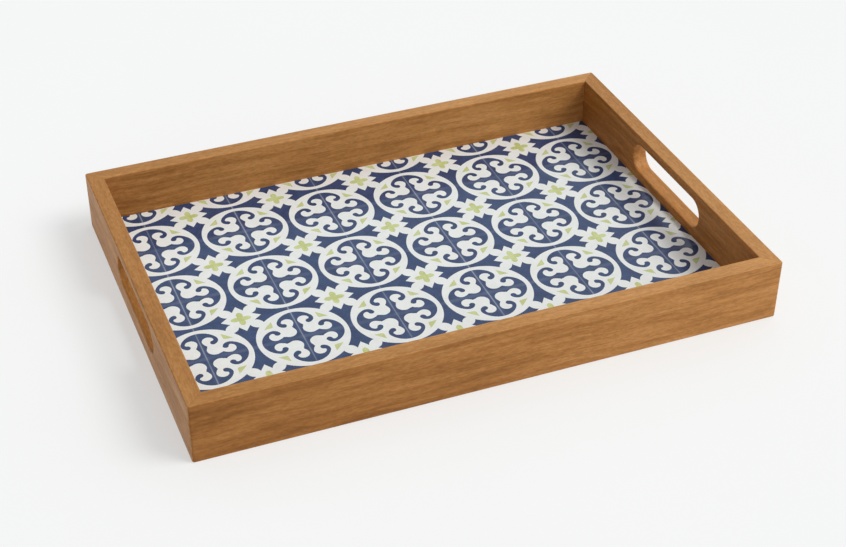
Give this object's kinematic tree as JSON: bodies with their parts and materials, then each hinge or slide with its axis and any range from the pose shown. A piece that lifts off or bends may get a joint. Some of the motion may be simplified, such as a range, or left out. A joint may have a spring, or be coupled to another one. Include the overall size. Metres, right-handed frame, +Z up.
{
  "type": "serving tray",
  "caption": "Rectangular wooden serving tray with mitred rails, a finger slot through each end rail and a recessed floor with a tile-pattern print.",
  "frame": {"origin": "middle of the tray on the surface it stands on", "axes": "+X along the tray from the left to the right end rail, +Y across it from the front to the back rail, +Z up"},
  "size_m": [0.45, 0.31, 0.049],
  "materials": {
    "rail_wood": "satin lacquer",
    "board": "raw fibreboard",
    "print": "satin printed laminate, blue, green and white",
    "backing": "plain off-white laminate",
    "biscuit_wood": "raw pressed beech"
  },
  "bodies": {
    "root": {"front_rail": "rail_wood", "back_rail": "rail_wood", "left_end_rail": "rail_wood", "right_end_rail": "rail_wood", "base_board": "board", "printed_sheet": "print", "backing_sheet": "backing", "front_left_corner_biscuit": "biscuit_wood", "front_right_corner_biscuit": "biscuit_wood", "back_left_corner_biscuit": "biscuit_wood", "back_right_corner_biscuit": "biscuit_wood"}
  },
  "joints": []
}
